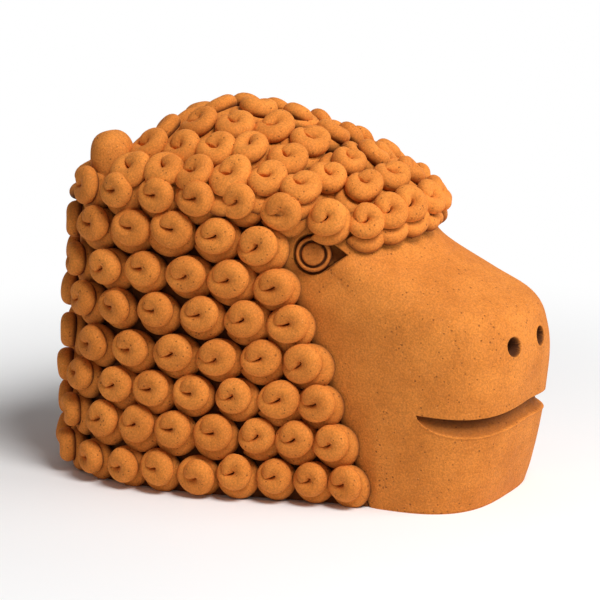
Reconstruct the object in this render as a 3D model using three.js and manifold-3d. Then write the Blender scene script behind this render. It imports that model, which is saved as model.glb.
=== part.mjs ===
// Lion head sculpture in fired clay, hollow and open underneath. A rounded muzzle with a cut mouth,
// pierced nostrils and stamped eyes stands in front of a mane of coiled clay curls laid in courses.
// Millimetres, +Z up. The face looks along -Y and the lion's right side is -X.
import * as THREE from 'three';
import { mergeVertices } from 'three/addons/utils/BufferGeometryUtils.js';
import Module from 'manifold-3d';

const wasm = await Module();
wasm.setup();

const { clamp, lerp, smoothstep, degToRad } = THREE.MathUtils;

// Clay thickness and the joint between pieces
const wallThick = 9;
const faceThick = 12;
const crownThick = 10;
const seam = 0.3;

// Face: each level's height is its rise above the level below it
const footFront = 103.5;
const footHalf = 47;
const chinRise = 10;
const chinFront = 107;
const jawHalf = 48;
const lipRise = 34;
const lipFront = 113.5;
const noseRise = 32;
const noseFront = 115;
const noseHalf = 47;
const noseTopRise = 14;
const noseTopFront = 109;
const bridgeRise = 8;
const bridgeFront = 95;
const bridgeHalf = 45;
const templeRise = 14;
const templeFront = 68;
const templeHalf = 46;
const browRise = 20;
const browFront = 58;
const browHalf = 48;
const jawSide = 61;
const browSide = 5;
const sideShares = [0, 0, 0, 0.1, 0.2, 0.29, 0.59, 1];
const faceSquares = [3.3, 3.1, 3.2, 3.1, 2.6, 2.1, 1.8, 1.9];
const faceBend = 0.75;
const faceColumns = 28;
const faceLevels = 12;

// Mouth, nostrils and eyes
const mouthHeight = 42;
const mouthRise = 4;
const mouthReach = 0.64;
const mouthGap = 8;
const mouthDepth = 7;
const mouthOut = 3;
const mouthFlare = 1.25;
const mouthFloor = 0.35;
const mouthEnd = 0.02;
const mouthSteps = 18;
const nostrilHeight = 73.5;
const nostrilApart = 28;
const nostrilBore = 6.5;
const boreSides = 12;
const eyeHeight = 113;
const eyeReach = 0.72;
const eyeTurn = degToRad(70);
const eyeTilt = degToRad(12);
const eyeWide = 15.4;
const eyeFlare = 0.8;
const eyePupil = 10.2;
const pupilDish = 0.3;
const eyeGroove = 1.4;
const eyeProud = 1.5;
const eyeSides = 20;
const socketDepth = 5.5;
const socketRound = 9.2;
const socketTip = 15.5;

// Mane wall: plan, lean and the slanted line where it meets the cheek
const cheekHalf = 46;
const maneHalf = 62.5;
const cheekY = -57;
const wideY = 40;
const backDepth = 61;
const backSquare = 3;
const wallLean = 6.3;
const backLean = 8.8;
const hairlineSlope = 0.41;
const cornerTurn = 0.5;
const wallColumns = 15;
const wallLevels = 3;

// Crown: rim heights, apex and the dome's profile
const browRim = 130;
const sideRim = 139.5;
const backRim = 128;
const browTurn = 0.65;
const templeTurn = 0.2;
const rearTurn = 0.2;
const apexHeight = 159.5;
const apexY = 30;
const domeSpread = 1.7;
const domeBend = 1.45;
const crownColumns = 60;
const crownRings = 6;

// Curls: a coiled rope whose wider foot lap slides down from under the upper lap
const footPitch = 17.6;
const curlPitch = 20.2;
const pitchCourses = 3;
const curlHeight = 12;
const curlSides = 6;
const curlFuse = 1.8;
const footSlide = 1.4;
const courseGap = 2.2;
const courseJoint = 5;

// Courses round the walls, and the top one that follows the rim
const courseCount = 8;
const footCentre = 12.5;
const courseBow = 7;
const bowTurn = 1.6;
const firstCurl = 3;
const lastTurn = 1.55;
const edgeDrop = 3;

// Fringe over the brow, and rows over the crown from the brow to the back
const fringeCount = 7;
const fringePitch = 13.4;
const fringeTilt = 0.15;
const fringeTuck = 0.8;
const crownRowCount = 9;
const rowPitch = 18.4;
const firstRowInset = 28.5;
const lastRowInset = 5.5;
const rowEase = 0.028;
const rowInset = 7;
const rowTries = 12;
const rowBow = 5;
const bowReach = 33;

// Ears
const earWide = 22;
const earDeep = 18;
const earTall = 30;
const earTurn = 0.44;
const earInset = 5;
const earLift = 5.5;
const earSink = 5.2;
const earHeel = 2.5;

const clay = {
  face: 0xc97b3c, eye: 0xb9672e, wall: 0xa85c2a, crown: 0xb0642d, curl: 0xc67637, ear: 0xc47334,
};
const clayRoughness = 0.88;

// Face levels: height, then front, half width, where the side begins and squareness
const faceRises = [0, chinRise, lipRise, noseRise, noseTopRise, bridgeRise, templeRise, browRise];
const faceFronts = [
  footFront, chinFront, lipFront, noseFront, noseTopFront, bridgeFront, templeFront, browFront,
];
const faceHalves = [footHalf, jawHalf, jawHalf, noseHalf, noseHalf, bridgeHalf, templeHalf, browHalf];
const faceHeights = [];
for (const rise of faceRises) {
  faceHeights.push((faceHeights.at(-1) ?? 0) + rise);
}
const faceRows = faceFronts.map((front, level) => {
  const side = lerp(-jawSide, -browSide, sideShares[level]);
  return [-front, faceHalves[level], side, faceSquares[level]];
});
const faceCurve = new THREE.CubicInterpolant(faceHeights, faceRows.flat(), 4, new Float64Array(4));

// Half width of the mane wall at ground level, from the cheek to the widest place
function maneHalfAt(y) {
  return lerp(cheekHalf, maneHalf, smoothstep(y, cheekY, wideY));
}

// The walls lean inwards as they rise
function leanAt(z) {
  return 1 - (wallLean / maneHalf) * (z / sideRim);
}

function hairlineY(z) {
  return cheekY + hairlineSlope * z;
}

// The right half of the head's outer surface at height z. The turn t runs from the middle of the face
// at -1 to the hairline at 0, the widest place at 1 and the middle of the back at 2. The left hairline
// is met at either end of the turns.
const firstTurn = -2;
const fullTurn = 4;
function skin(t, z, inset = 0) {
  const lean = leanAt(z);
  if (t > 1) {
    const angle = (t - 1) * Math.PI / 2;
    const x = (maneHalf * lean - inset) * Math.pow(Math.max(Math.cos(angle), 0), 2 / backSquare);
    const depth = backDepth - backLean * z / sideRim;
    const y = wideY + (depth - inset) * Math.pow(Math.max(Math.sin(angle), 0), 2 / backSquare);
    return new THREE.Vector3(-x, y, z);
  }
  const hairline = hairlineY(z);
  if (t > 0) {
    const y = lerp(hairline, wideY, t);
    return new THREE.Vector3(inset - maneHalfAt(y) * lean, y, z);
  }
  const [front, half, side, square] = faceCurve.evaluate(z);
  const turn = 1 + t;
  if (turn < faceBend) {
    const angle = (turn / faceBend) * Math.PI / 2;
    const x = (half - inset) * Math.pow(Math.sin(angle), 2 / square);
    const y = side + (front + inset - side) * Math.pow(Math.cos(angle), 2 / square);
    return new THREE.Vector3(-x, y, z);
  }
  const share = (turn - faceBend) / (1 - faceBend);
  const x = lerp(half, maneHalfAt(hairline) * lean, share) - inset;
  return new THREE.Vector3(-x, lerp(side, hairline, share), z);
}

function mirrored(point) {
  return new THREE.Vector3(-point.x, point.y, point.z);
}

// Either half of the outer surface: turns below -1 continue round the left of the face,
// and turns above 2 continue round the left of the back.
function hull(t, z, inset = 0) {
  if (t < -1) {
    return mirrored(skin(firstTurn - t, z, inset));
  }
  return t > 2 ? mirrored(skin(fullTurn - t, z, inset)) : skin(t, z, inset);
}

// Where the crown's rim lies on the wall at each turn
function rimAt(t) {
  if (t < 1) {
    return lerp(browRim, sideRim, smoothstep(t, -browTurn, -templeTurn));
  }
  return lerp(sideRim, backRim, smoothstep(t, 1 + rearTurn, 2));
}

function hullRimAt(t) {
  const rightTurn = t > 2 ? fullTurn - t : t;
  return rimAt(t < -1 ? firstTurn - t : rightTurn);
}

// Points closer than this are one point
const samePoint = 1e-4;

// A closed plate between an outer and an inner grid of points
function plate(outer, inner, columns, rows, around = false) {
  const corners = [];
  const triangle = (a, b, c) => {
    const sides = [a.distanceTo(b), b.distanceTo(c), c.distanceTo(a)];
    if (Math.min(...sides) > samePoint) {
      corners.push(a, b, c);
    }
  };
  const quad = (a, b, c, d) => {
    triangle(a, b, c);
    triangle(a, c, d);
  };
  for (let i = 0; i < columns; i += 1) {
    for (let j = 0; j < rows; j += 1) {
      quad(outer(i, j), outer(i, j + 1), outer(i + 1, j + 1), outer(i + 1, j));
      quad(inner(i, j), inner(i + 1, j), inner(i + 1, j + 1), inner(i, j + 1));
    }
    quad(outer(i, 0), outer(i + 1, 0), inner(i + 1, 0), inner(i, 0));
    quad(outer(i, rows), inner(i, rows), inner(i + 1, rows), outer(i + 1, rows));
  }
  for (let j = 0; j < rows && !around; j += 1) {
    quad(outer(0, j), inner(0, j), inner(0, j + 1), outer(0, j + 1));
    quad(outer(columns, j), outer(columns, j + 1), inner(columns, j + 1), inner(columns, j));
  }
  return new THREE.BufferGeometry().setFromPoints(corners);
}

function solidOf(geometry) {
  const bare = geometry.clone();
  bare.deleteAttribute('normal');
  bare.deleteAttribute('uv');
  const merged = mergeVertices(bare, samePoint);
  const vertProperties = new Float32Array(merged.attributes.position.array);
  const triVerts = new Uint32Array(merged.index.array);
  return new wasm.Manifold(new wasm.Mesh({ numProp: 3, vertProperties, triVerts }));
}

function geometryOf(solid) {
  const mesh = solid.getMesh();
  const geometry = new THREE.BufferGeometry();
  geometry.setAttribute('position', new THREE.BufferAttribute(mesh.vertProperties, 3));
  geometry.setIndex(new THREE.BufferAttribute(mesh.triVerts, 1));
  return geometry;
}

const head = new THREE.Group();

function addPiece(name, geometry, color) {
  const material = new THREE.MeshStandardMaterial({ color, roughness: clayRoughness, metalness: 0 });
  const mesh = new THREE.Mesh(geometry, material);
  mesh.name = name;
  head.add(mesh);
}

// A strip of the head's wall between two turns, from the ground to the rim
function wallPlate(from, to, thick, columns, rows, thinRoof = 0) {
  const at = (inset, drop) => (i, j) => {
    const t = lerp(from, to, i / columns);
    const top = hullRimAt(t) - seam / 2;
    const share = j / rows;
    const middle = Math.cos((t + 1) * Math.PI / 2);
    const sink = drop * middle * Math.pow(Math.sin(Math.PI * clamp(2 * share - 1, 0, 1)), 2);
    const point = hull(t, share * top, inset);
    point.z -= sink;
    return point;
  };
  return plate(at(0, 0), at(thick, thinRoof), columns, rows);
}

// Mouth: a tapering groove that follows the muzzle and rises towards its corners
function mouthCutter() {
  const section = [
    [mouthOut, mouthFlare], [0, 1], [-mouthDepth, mouthFloor],
    [-mouthDepth, -mouthFloor], [0, -1], [mouthOut, -mouthFlare],
  ];
  const ringAt = (i) => {
    const share = lerp(-1, 1, i / mouthSteps);
    const t = -1 + share * mouthReach;
    const z = mouthHeight + mouthRise * share * share;
    const half = (mouthGap / 2) * Math.sqrt(1 + mouthEnd - share * share);
    const seat = seatAt(t, z);
    seat.normal.setZ(0).normalize();
    const deep = lerp(mouthFloor, 1, Math.sqrt(1 - share * share));
    return section.map(([out, up]) => {
      const point = seat.point.clone().addScaledVector(seat.normal, out < 0 ? out * deep : out);
      point.z += up * half;
      return point;
    });
  };
  const rings = Array.from({ length: mouthSteps + 1 }, (_, i) => ringAt(i));
  const corners = [];
  for (let i = 0; i < mouthSteps; i += 1) {
    for (let k = 0; k < section.length; k += 1) {
      const next = (k + 1) % section.length;
      corners.push(rings[i][k], rings[i][next], rings[i + 1][next]);
      corners.push(rings[i][k], rings[i + 1][next], rings[i + 1][k]);
    }
  }
  for (let k = 1; k < section.length - 1; k += 1) {
    corners.push(rings[0][0], rings[0][k + 1], rings[0][k]);
    corners.push(rings[mouthSteps][0], rings[mouthSteps][k], rings[mouthSteps][k + 1]);
  }
  return solidOf(new THREE.BufferGeometry().setFromPoints(corners));
}

// A place on the head's surface, with the way up it and its outward normal
const turnStep = 0.01;
function seatAt(t, z) {
  const point = hull(t, z);
  const along = hull(t + turnStep, z).sub(hull(t - turnStep, z)).normalize();
  const rise = hull(t, z + 1).sub(hull(t, z - 1)).normalize();
  const normal = new THREE.Vector3().crossVectors(rise, along).normalize();
  return { point, rise, normal };
}

function nostrilCutter(side) {
  const length = 2 * faceThick;
  const bore = new THREE.CylinderGeometry(nostrilBore / 2, nostrilBore / 2, length, boreSides);
  bore.translate(side * nostrilApart / 2, -noseFront + faceThick / 2, nostrilHeight);
  return solidOf(bore);
}

// Eye frame: its own Z points out of the eye, its X towards the nose
function eyeFrame(side) {
  const seat = seatAt(-1 + eyeReach, eyeHeight);
  const out = new THREE.Vector3(
    -Math.sin(eyeTurn) * Math.cos(eyeTilt), -Math.cos(eyeTurn) * Math.cos(eyeTilt), Math.sin(eyeTilt));
  const ahead = new THREE.Vector3(Math.cos(eyeTurn), -Math.sin(eyeTurn), 0);
  const up = new THREE.Vector3().crossVectors(out, ahead);
  const frame = new THREE.Matrix4().makeBasis(ahead, up, out).setPosition(seat.point);
  return side < 0 ? frame : new THREE.Matrix4().makeScale(-1, 1, 1).multiply(frame);
}

// Socket: round behind the eye, drawn out to a point towards the nose
function socketCutter(side) {
  const shape = new THREE.Shape();
  const open = Math.acos(socketRound / socketTip);
  shape.moveTo(socketTip, 0);
  shape.lineTo(socketRound * Math.cos(open), socketRound * Math.sin(open));
  shape.absarc(0, 0, socketRound, open, 2 * Math.PI - open, false);
  shape.closePath();
  const above = 3 * socketDepth;
  const depth = above + socketDepth;
  const cutter = new THREE.ExtrudeGeometry(shape, { depth, bevelEnabled: false, curveSegments: boreSides });
  cutter.translate(0, 0, -socketDepth);
  cutter.applyMatrix4(eyeFrame(side));
  return solidOf(side < 0 ? cutter : flipped(cutter));
}

// Turns the faces of a mirrored shape the right way out again
function flipped(geometry) {
  const bare = geometry.index ? geometry.toNonIndexed() : geometry;
  const place = bare.attributes.position;
  const points = [];
  for (let i = 0; i < place.count; i += 3) {
    for (const corner of [0, 2, 1]) {
      points.push(new THREE.Vector3().fromBufferAttribute(place, i + corner));
    }
  }
  return new THREE.BufferGeometry().setFromPoints(points);
}

// Eye: a stamped turret with a ring groove round its pupil
function eyeGeometry(side) {
  const outer = eyeWide / 2;
  const inner = eyePupil / 2;
  const floor = -socketDepth + seam;
  const profile = [
    [0, floor], [outer + eyeFlare, floor], [outer, eyeProud], [inner + eyeGroove, eyeProud],
    [inner + eyeGroove / 2, eyeProud - eyeGroove], [inner, eyeProud - pupilDish], [0, eyeProud],
  ];
  const turret = new THREE.LatheGeometry(profile.map(([x, y]) => new THREE.Vector2(x, y)), eyeSides);
  turret.rotateX(Math.PI / 2);
  turret.applyMatrix4(eyeFrame(side));
  return geometryOf(solidOf(side < 0 ? turret : flipped(turret)));
}

// Turns at the joints; a unit of turn is about this long round the face, the side and the back
const faceArc = 100;
const sideArc = 60;
const backArc = 120;
const faceEnd = -seam / faceArc;
const sideStart = seam / sideArc;
const sideEnd = 1 + cornerTurn - seam / backArc;
const backStart = 1 + cornerTurn + seam / backArc;

// Face
let face = solidOf(wallPlate(firstTurn, faceEnd, faceThick, faceColumns, faceLevels, faceThick / 2));
face = face.subtract(mouthCutter());
for (const side of [-1, 1]) {
  face = face.subtract(nostrilCutter(side)).subtract(socketCutter(side));
}
addPiece('face_shell', geometryOf(face), clay.face);
addPiece('right_eye', eyeGeometry(-1), clay.eye);
addPiece('left_eye', eyeGeometry(1), clay.eye);

// Mane walls
function addWall(name, from, to) {
  addPiece(name, wallPlate(from, to, wallThick, wallColumns, wallLevels), clay.wall);
}
addWall('right_wall', sideStart, sideEnd);
addWall('left_wall', fullTurn - sideEnd, fullTurn - sideStart);
addWall('back_wall', backStart, fullTurn - backStart);

// Crown: a dome drawn from the rim to the apex; grow swells it to cut what stands on it
function crownGeometry(thick, grow = 0) {
  const at = (inset, height) => (i, j) => {
    const t = lerp(fullTurn, firstTurn, (i % crownColumns) / crownColumns);
    const rim = hullRimAt(t);
    const edge = hull(t, rim, inset);
    const share = Math.sin((j / crownRings) * Math.PI / 2);
    const centre = new THREE.Vector3(0, apexY, 0);
    const point = centre.lerp(edge.setZ(0), share);
    const lift = Math.pow(Math.max(1 - Math.pow(share, domeSpread), 0), domeBend);
    point.z = rim + seam + (height - rim) * lift;
    return point;
  };
  const top = at(-grow, apexHeight + grow);
  const under = at(thick, apexHeight - thick);
  return plate(top, under, crownColumns, crownRings, true);
}
addPiece('crown_slab', geometryOf(solidOf(crownGeometry(crownThick))), clay.crown);

// The crown's edge seen from above: its bearing from the apex, its reach and its rim height
const edgeSteps = 240;
const crownEdge = Array.from({ length: edgeSteps + 1 }, (_, i) => {
  const t = lerp(-1, 2, i / edgeSteps);
  const rim = rimAt(t);
  const { x, y } = skin(t, rim);
  return { x, y, rim, bearing: Math.atan2(-x, apexY - y), reach: Math.hypot(x, y - apexY) };
});

function edgeWhere(key, value) {
  const last = crownEdge.findIndex((place) => place[key] >= value);
  const after = crownEdge[Math.max(last < 0 ? edgeSteps : last, 1)];
  const before = crownEdge[crownEdge.indexOf(after) - 1];
  const share = clamp((value - before[key]) / (after[key] - before[key]), 0, 1);
  return {
    x: lerp(before.x, after.x, share),
    rim: lerp(before.rim, after.rim, share),
    reach: lerp(before.reach, after.reach, share),
  };
}

// The crown's surface over a place; outside the rim it runs level
function outShare(x, y) {
  const { reach } = edgeWhere('bearing', Math.atan2(Math.abs(x), apexY - y));
  return Math.hypot(x, y - apexY) / reach;
}

function dome(x, y) {
  const { rim } = edgeWhere('bearing', Math.atan2(Math.abs(x), apexY - y));
  const share = Math.min(outShare(x, y), 1);
  const lift = Math.pow(1 - Math.pow(share, domeSpread), domeBend);
  return new THREE.Vector3(x, y, rim + seam + (apexHeight - rim) * lift);
}

// Arc length along a line of places, and the place at any length along it
function walk(placeAt, steps = 400) {
  const places = Array.from({ length: steps + 1 }, (_, i) => placeAt(i / steps));
  const lengths = [0];
  for (let i = 1; i <= steps; i += 1) {
    lengths.push(lengths[i - 1] + places[i].distanceTo(places[i - 1]));
  }
  const shareAt = (length) => {
    const next = Math.max(lengths.findIndex((sum) => sum >= length), 1);
    return (next - 1 + (length - lengths[next - 1]) / (lengths[next] - lengths[next - 1])) / steps;
  };
  return { length: lengths[steps], shareAt };
}

// How far the surface stands above a seat's own plane within a curl's foot
function bulgeAt(seat, around, reach) {
  const near = around.filter((place) => place.distanceTo(seat.point) < reach);
  return Math.max(0, ...near.map((place) => place.sub(seat.point).dot(seat.normal)));
}

const bulgeStep = 0.05;
function wallSeat(t, z) {
  const seat = seatAt(t, z);
  const around = [];
  for (let i = -6; i <= 6; i += 1) {
    for (const rise of [-1, 0, 1]) {
      around.push(hull(t + i * bulgeStep, z + rise * coursePitch / 2));
    }
  }
  seat.bulge = bulgeAt(seat, around, curlPitch);
  return seat;
}

const domeStep = 0.5;
function domeSeat(x, y) {
  const point = dome(x, y);
  const along = dome(x + domeStep, y).sub(dome(x - domeStep, y)).normalize();
  const back = dome(x, y + domeStep).sub(dome(x, y - domeStep)).normalize();
  const normal = new THREE.Vector3().crossVectors(along, back).normalize();
  const seat = { point, rise: back, normal };
  const around = [];
  for (let i = -4; i <= 4; i += 1) {
    for (let j = -4; j <= 4; j += 1) {
      const place = [x + i * curlPitch / 8, y + j * curlPitch / 8];
      if (outShare(...place) < 1) {
        around.push(dome(...place));
      }
    }
  }
  seat.bulge = bulgeAt(seat, around, curlPitch / 2 + curlFuse);
  return seat;
}

function mirroredSeat(seat) {
  return { ...seat, point: mirrored(seat.point), rise: mirrored(seat.rise), normal: mirrored(seat.normal) };
}

// Curl: two laps with a waist between them and a dip where the rope's end tucks in
const widestLap = 0.28;
const waist = 0.5;
const curlProfile = [
  { out: 0, up: 0 },
  { out: 0.76, up: 0 },
  { out: 1, up: widestLap },
  { out: 0.84, up: waist },
  { out: 0.9, up: 0.68 },
  { out: 0.5, up: 1 },
  { out: 0, up: 0.78 },
];
function curlSolid(seat, halfAlong, halfUp) {
  const points = curlProfile.map(({ out, up }) => new THREE.Vector2(out, up * curlHeight));
  const bun = new THREE.LatheGeometry(points, curlSides);
  bun.rotateX(Math.PI / 2);
  bun.scale(halfAlong / Math.cos(Math.PI / curlSides), halfUp, 1);
  const place = bun.attributes.position;
  for (let i = 0; i < place.count; i += 1) {
    const low = 1 - smoothstep(place.getZ(i), 0, waist * curlHeight);
    place.setY(i, place.getY(i) - footSlide * (place.getZ(i) > 0 ? low : 0));
  }
  const across = new THREE.Vector3().crossVectors(seat.rise, seat.normal).normalize();
  const up = new THREE.Vector3().crossVectors(seat.normal, across);
  const foot = seat.point.clone().addScaledVector(seat.normal, seam + seat.bulge);
  bun.applyMatrix4(new THREE.Matrix4().makeBasis(across, up, seat.normal).setPosition(foot));
  return solidOf(bun);
}

function addCourse(name, seats, spacing, tall) {
  const curls = seats.map((seat) => curlSolid(seat, spacing / 2 + curlFuse, (tall - courseGap) / 2));
  addPiece(name, geometryOf(curls.reduce((course, curl) => course.add(curl))), clay.curl);
}

// Courses round the walls, from the lowest up; the upper ones bow up along the side
const coursePitch = (sideRim - edgeDrop - footCentre) / (courseCount - 1);
for (let level = 0; level < courseCount - 1; level += 1) {
  const bow = courseBow * Math.pow(level / (courseCount - 1), 2);
  const rise = (t) => bow * (Math.sin(Math.PI * clamp(t / bowTurn, 0, 1)) - 0.5);
  const heightAt = (t) => footCentre + level * coursePitch + rise(t < 2 ? t : fullTurn - t);
  const pitch = lerp(footPitch, curlPitch, Math.min(level / pitchCourses, 1));
  const line = walk((share) => hull(fullTurn * share, heightAt(fullTurn * share)));
  const turnAlong = (length) => fullTurn * line.shareAt(length);
  const seatAlong = (length) => wallSeat(turnAlong(length), heightAt(turnAlong(length)));
  const right = [];
  for (let length = firstCurl; turnAlong(length) < lastTurn; length += pitch) {
    right.push(seatAlong(length));
  }
  addCourse(`right_course_${level + 1}`, right, pitch, coursePitch);
  addCourse(`left_course_${level + 1}`, right.map(mirroredSeat), pitch, coursePitch);
  const start = firstCurl + (right.length - 0.5) * pitch + courseJoint;
  const backLength = line.length - 2 * start;
  const backCount = Math.round(backLength / pitch);
  const spacing = backLength / backCount;
  const back = Array.from({ length: backCount }, (_, i) => seatAlong(start + (i + 0.5) * spacing));
  addCourse(`back_course_${level + 1}`, back, spacing, coursePitch);
}

// The top course follows the rim, and the fringe leans over the brow on the rim itself
const rimTurn = lastTurn + 1;
const rimPlace = (share) => -1 + share * rimTurn;
const rimWalk = walk((share) => hull(rimPlace(share), rimAt(rimPlace(share)) - edgeDrop));

function rimSeat(length) {
  const t = rimPlace(rimWalk.shareAt(length));
  return wallSeat(t, rimAt(t) - edgeDrop);
}

function fringeSeat(length) {
  const t = rimPlace(rimWalk.shareAt(length));
  const seat = seatAt(t, rimAt(t));
  const axis = new THREE.Vector3().crossVectors(seat.normal, seat.rise).normalize();
  seat.normal.applyAxisAngle(axis, fringeTilt);
  const around = [];
  for (let i = -4; i <= 4; i += 1) {
    const rim = rimAt(t + i * bulgeStep);
    const edge = hull(t + i * bulgeStep, rim);
    const below = hull(t + i * bulgeStep, rim - curlPitch / 4);
    around.push(edge, below, dome(fringeTuck * edge.x, fringeTuck * edge.y));
  }
  seat.bulge = bulgeAt(seat, around, curlPitch);
  return seat;
}

const fringeHalf = (fringeCount - 1) / 2;
const fringeRight = Array.from({ length: fringeHalf + 1 }, (_, i) => fringeSeat(i * fringePitch));
const fringeLeft = fringeRight.slice(1).map(mirroredSeat);
addCourse('brow_fringe', [...fringeRight, ...fringeLeft], fringePitch, coursePitch);
const topStart = (fringeHalf + 0.5) * fringePitch + courseJoint;
const topCount = Math.ceil((rimWalk.length - topStart) / curlPitch);
const topSpacing = (rimWalk.length - topStart) / topCount;
const topRight = Array.from({ length: topCount }, (_, i) => rimSeat(topStart + (i + 0.5) * topSpacing));
addCourse(`right_course_${courseCount}`, topRight, topSpacing, coursePitch);
addCourse(`left_course_${courseCount}`, topRight.map(mirroredSeat), topSpacing, coursePitch);

// Ears: smooth lobes on the back corners of the crown, clear of the top course outside the rim
const earPlace = skin(1 + earTurn, sideRim, earInset);
const earFacing = seatAt(1 + earTurn, sideRim).normal;
function underEar(top, outward) {
  const block = new THREE.BoxGeometry(2 * earWide, 2 * earWide, earTall);
  block.translate(0, outward, top - earTall / 2);
  block.rotateZ(Math.atan2(-earFacing.x, earFacing.y));
  block.translate(earPlace.x, earPlace.y, 0);
  return solidOf(block);
}
const lobe = new THREE.SphereGeometry(0.5, 14, 10);
lobe.rotateX(Math.PI / 2);
lobe.scale(earWide, earDeep, earTall);
lobe.translate(earPlace.x, earPlace.y, sideRim + earLift);
const earFoot = 3 * seam;
const rightEar = solidOf(lobe)
  .subtract(solidOf(crownGeometry(earTall, earFoot)))
  .subtract(underEar(sideRim + earFoot, 0))
  .subtract(underEar(sideRim + earSink, earWide + earInset - earHeel));
addPiece('right_ear', geometryOf(rightEar), clay.ear);
const leftEar = geometryOf(rightEar).applyMatrix4(new THREE.Matrix4().makeScale(-1, 1, 1));
addPiece('left_ear', geometryOf(solidOf(flipped(leftEar))), clay.ear);

// Whether a curl's widest lap keeps clear of others
function lapOf({ point, normal, bulge }) {
  return point.clone().addScaledVector(normal, bulge + widestLap * curlHeight);
}

function clearOf(seat, others, apart) {
  return others.every((other) => lapOf(other).distanceTo(lapOf(seat)) > apart);
}

// Crown rows run from side to side over the dome; the front ones bow towards the brow
const rimSeats = [...fringeRight, ...topRight];
const frontY = crownEdge[0].y + firstRowInset;
const backY = crownEdge[edgeSteps].y - lastRowInset;
const earReach = (earWide + rowPitch) / 2;
const rowMiddles = Array.from({ length: crownRowCount }, (_, row) => {
  const share = row / (crownRowCount - 1);
  return lerp(frontY, backY, share + rowEase * Math.sin(Math.PI * share));
});
for (let row = 0; row < crownRowCount; row += 1) {
  const middle = rowMiddles[row];
  const bow = rowBow * smoothstep(wideY - middle, bowReach, 2 * bowReach);
  const edge = -edgeWhere('y', middle).x;
  const place = (share) => {
    const across = -Math.cos(share * Math.PI);
    return [edge * across, middle - bow * (1 - across * across)];
  };
  const line = walk((share) => dome(...place(share)));
  const seatsFrom = (inset) => {
    const count = Math.max(Math.round((line.length - 2 * inset) / rowPitch) + 1, 2);
    const spacing = (line.length - 2 * inset) / (count - 1);
    const seatAlong = (length) => domeSeat(...place(line.shareAt(length)));
    const seats = Array.from({ length: count }, (_, i) => seatAlong(inset + i * spacing));
    return { seats, spacing };
  };
  let { seats, spacing } = seatsFrom(rowInset);
  for (let more = 1; more < rowTries && !clearOf(seats[0], rimSeats, coursePitch); more += 1) {
    ({ seats, spacing } = seatsFrom(rowInset + more));
  }
  const tall = row === 0 ? rowMiddles[1] - middle : middle - rowMiddles[row - 1];
  const free = seats.filter(({ point }) => {
    return Math.hypot(Math.abs(point.x) + earPlace.x, point.y - earPlace.y) > earReach;
  });
  addCourse(`crown_row_${row + 1}`, free, spacing, tall);
}

const box = new THREE.Box3().setFromObject(head);
const middle = box.getCenter(new THREE.Vector3());
head.position.set(-middle.x, -middle.y, -box.min.z);

export default head;
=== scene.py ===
# Lion head in fired clay: smooth muzzle and cheeks in front of a mane of coiled clay ropes.
# Shapes are worked out in millimetres in the head's own frame, then put into the row frame in metres.
import math
import random

import bmesh
import bpy
from mathutils import Matrix, Vector, noise


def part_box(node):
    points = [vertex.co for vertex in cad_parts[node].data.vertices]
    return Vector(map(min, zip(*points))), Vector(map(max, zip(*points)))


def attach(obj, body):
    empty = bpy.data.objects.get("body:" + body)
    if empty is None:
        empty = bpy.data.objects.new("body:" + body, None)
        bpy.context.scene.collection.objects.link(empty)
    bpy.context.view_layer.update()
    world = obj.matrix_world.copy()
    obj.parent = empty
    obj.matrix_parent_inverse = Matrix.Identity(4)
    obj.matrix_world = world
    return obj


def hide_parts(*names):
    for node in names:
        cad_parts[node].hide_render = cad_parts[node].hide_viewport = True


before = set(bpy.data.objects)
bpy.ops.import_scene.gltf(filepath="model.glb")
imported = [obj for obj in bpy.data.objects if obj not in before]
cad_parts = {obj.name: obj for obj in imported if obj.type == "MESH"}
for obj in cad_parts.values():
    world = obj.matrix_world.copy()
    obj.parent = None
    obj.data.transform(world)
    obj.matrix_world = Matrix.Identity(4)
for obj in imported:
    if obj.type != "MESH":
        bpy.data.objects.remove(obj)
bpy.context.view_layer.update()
scene = bpy.context.scene
scene.view_settings.view_transform = "Standard"

mm = 0.001

# Plan, lean and crown of the head; turns run from the face's middle (-1) by the hairline (0) to the back (2)
headShape = {
    "cheekHalf": 46, "maneHalf": 62.5, "cheekY": -57, "wideY": 40, "backDepth": 61, "backSquare": 3,
    "wallLean": 6.3, "backLean": 8.8, "hairSlope": 0.41,
    "browRim": 130, "sideRim": 139.5, "backRim": 128, "browTurns": (-0.65, -0.2), "backTurns": (1.2, 2),
    "apexHeight": 159.5, "apexY": 30, "domeSpread": 1.7, "domeBend": 1.45,
}

# Face levels: height, front, half width, where the side begins, squareness
faceShape = {
    "rows": [
        (0, -103.5, 47, -61, 3.1), (10, -107.3, 48, -61, 2.9), (44, -114.3, 48, -61, 2.9),
        (76, -116, 47, -55.4, 2.75), (90, -109.8, 47, -49.8, 2.4), (98, -95, 45, -44.8, 2.1),
        (112, -68, 46, -28, 1.8), (132, -58, 48, -5, 1.9),
    ],
    "bend": 0.75, "thick": 12, "columns": 150, "levels": 100, "spreadHeight": 60, "end": 0.997,
    "rimGap": 0.15, "sink": 0.5, "hairShade": (-0.04, 0.1), "fineCuts": 4,
}


def lerp(a, b, share):
    return a + (b - a) * share


def smoothstep(x, low, high):
    share = min(max((x - low) / (high - low), 0), 1)
    return share * share * (3 - 2 * share)


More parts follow.
